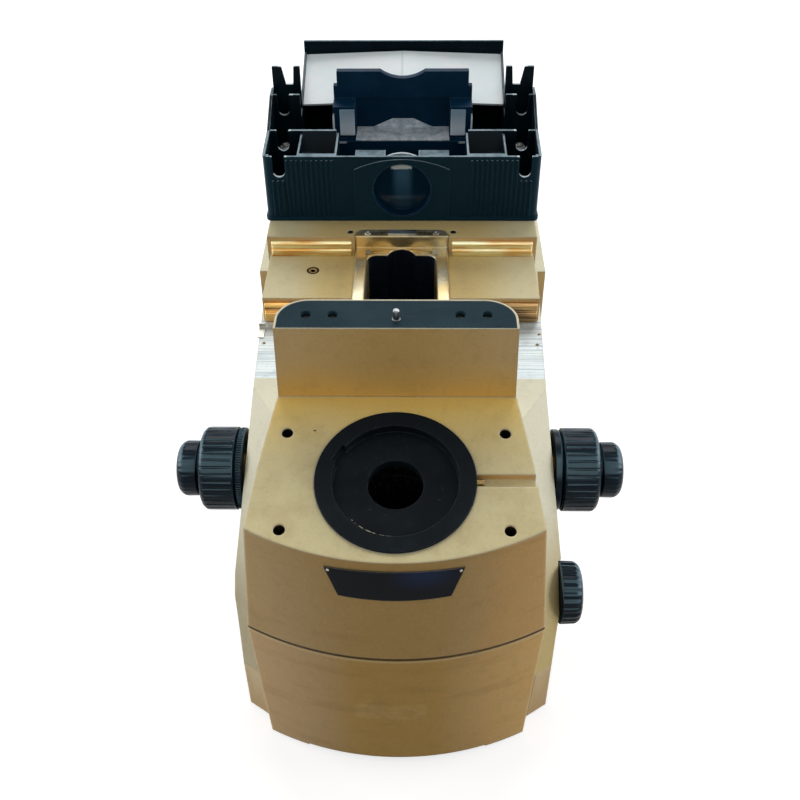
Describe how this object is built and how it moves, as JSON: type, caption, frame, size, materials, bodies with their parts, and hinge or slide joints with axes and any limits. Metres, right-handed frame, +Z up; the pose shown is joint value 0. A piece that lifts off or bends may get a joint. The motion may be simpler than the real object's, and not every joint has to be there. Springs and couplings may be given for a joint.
{
  "type": "inverted microscope",
  "caption": "Bare inverted microscope stand with stage leg, sloping tube mount, coaxial focus knobs, moving nosepiece carriage and open rear illuminator bay.",
  "frame": {"origin": "on the table, under the middle of the bounding box", "axes": "+Z up, +Y from the operator to the rear, +X to the operator's right"},
  "size_m": [0.328, 0.5999, 0.293],
  "materials": {
    "cream_paint": "semi-matt cream enamel, yellowed",
    "cover_paint": "semi-matt cream moulding",
    "gloss_black": "gloss black",
    "rivet_steel": "dark steel",
    "black_anodised": "satin black",
    "slate_plate": "dark slate satin",
    "steel": "ground steel",
    "black_screw": "blackened steel",
    "machined": "milled",
    "black_rubber": "ribbed grip rubber",
    "black_plastic": "satin black moulding",
    "brass": "turned",
    "sheet_steel": "black",
    "optic_glass": "polished",
    "mirror": "coated",
    "pale_panel": "pale blue-white satin",
    "grey_pad": "grey foam",
    "dusty_grey": "mottled grey",
    "foot_rubber": "moulded"
  },
  "bodies": {
    "stand": {"main_frame": "cream_paint", "tube_base": "cream_paint", "stage_plate": "slate_plate", "stage_pin": "steel", "front_cover": "cover_paint", "brand_plate": "gloss_black", "plate_rivets": "rivet_steel", "tube_ring": "black_anodised", "front_rail_left": "machined", "front_rail_right": "machined", "rear_rail_left": "machined", "rear_rail_right": "machined", "floor_screw": "steel", "guide_screws": "black_screw", "pad_clip": "steel", "base_plate": "sheet_steel", "base_screws": "steel", "feet": "foot_rubber", "rear_cover": "cream_paint", "rear_screws": "steel", "side_port_ring": "black_anodised", "side_port_cap": "black_plastic", "side_port_cover": "cream_paint", "focus_gearbox": "machined", "bush_left": "brass", "bush_right": "brass", "focus_flange": "black_plastic", "selector_bush": "brass", "mirror_mount": "machined", "fold_mirror": "mirror", "relay_mount": "machined", "relay_mirror": "mirror", "tube_lens_barrel": "black_anodised", "tube_lens": "optic_glass", "guide_rods": "steel", "bay_shell": "black_plastic", "port_barrel": "black_anodised", "port_lens": "optic_glass", "port_filter": "optic_glass", "bay_panel": "pale_panel", "bay_bracket": "black_anodised", "bracket_pads": "grey_pad", "bracket_shelf": "dusty_grey", "bay_posts": "black_plastic", "bay_screws": "steel"},
    "coarse_drive": {"coarse_sleeve": "steel", "coarse_knob_left": "black_rubber", "coarse_knob_right": "black_rubber"},
    "fine_drive": {"fine_shaft": "steel", "fine_knob_left": "black_plastic", "fine_knob_right": "black_plastic"},
    "torque_collar": {"torque_ring": "black_plastic"},
    "carriage": {"nosepiece_carriage": "machined", "carriage_screws": "steel", "carriage_plate": "steel"},
    "selector": {"selector_shaft": "steel", "selector_knob": "black_plastic", "prism_drum": "black_anodised", "beam_prism": "optic_glass"},
    "clamp_screw": {"tube_clamp_screw": "steel"}
  },
  "joints": [
    {"name": "coarse_focus", "type": "hinge", "parent": "stand", "child": "coarse_drive", "pos_m": [0, -0.1222, 0.103], "axis": [1, 0, 0], "range_deg": [-216, 504]},
    {"name": "fine_focus", "type": "hinge", "parent": "stand", "child": "fine_drive", "pos_m": [0, -0.1222, 0.103], "axis": [1, 0, 0], "continuous": true},
    {"name": "torque_adjust", "type": "hinge", "parent": "stand", "child": "torque_collar", "pos_m": [-0.116, -0.1222, 0.103], "axis": [1, 0, 0], "range_deg": [-90, 90]},
    {"name": "carriage_lift", "type": "slide", "parent": "stand", "child": "carriage", "axis": [0, 0, 1], "range_m": [-0.003, 0.007]},
    {"name": "light_path_select", "type": "hinge", "parent": "stand", "child": "selector", "pos_m": [0, -0.202, 0.059], "axis": [1, 0, 0], "range_deg": [0, 90]},
    {"name": "tube_clamp", "type": "hinge", "parent": "stand", "child": "clamp_screw", "pos_m": [0.045, -0.2346, 0.20174], "axis": [1, 0, 0], "range_deg": [0, 360]}
  ],
  "couplings": [
    {"joint": "carriage_lift", "follows": "coarse_focus", "m_per_rad": 0.00079577}
  ]
}
